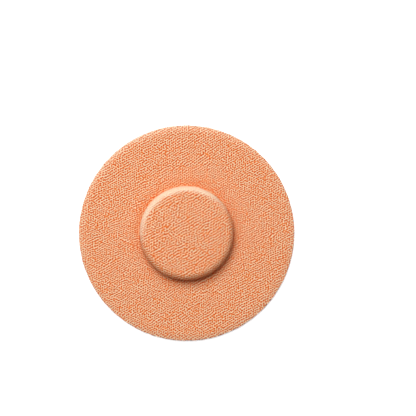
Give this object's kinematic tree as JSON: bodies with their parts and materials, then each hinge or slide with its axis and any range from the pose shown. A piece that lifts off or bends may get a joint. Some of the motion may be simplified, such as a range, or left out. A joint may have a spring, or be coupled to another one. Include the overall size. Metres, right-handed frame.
{
  "type": "sensor overpatch",
  "caption": "Round adhesive patch of tan elastic cloth with a raised round pocket that covers a body-worn sensor, on a paper release liner with a window and a peeling slit.",
  "frame": {"origin": "centre of the release liner's underside, on the surface the patch lies on", "axes": "+Z out of the cloth side through the raised centre; the liner's slit runs out from the centre at 197 degrees from +X, counterclockwise seen from +Z"},
  "size_m": [0.084, 0.084, 0.0066],
  "materials": {
    "tan_cloth": "tan elastic knitted cloth, matt, cream thread over darker orange-brown gaps",
    "pad_cloth": "the same cloth, thinner, matt",
    "carrier_film": "white adhesive carrier, slightly tacky sheen",
    "liner_paper": "white siliconised release paper, satin"
  },
  "bodies": {
    "root": {"cloth_cover": "tan_cloth", "centre_pad": "pad_cloth", "adhesive_carrier": "carrier_film", "release_liner": "liner_paper"}
  },
  "joints": []
}
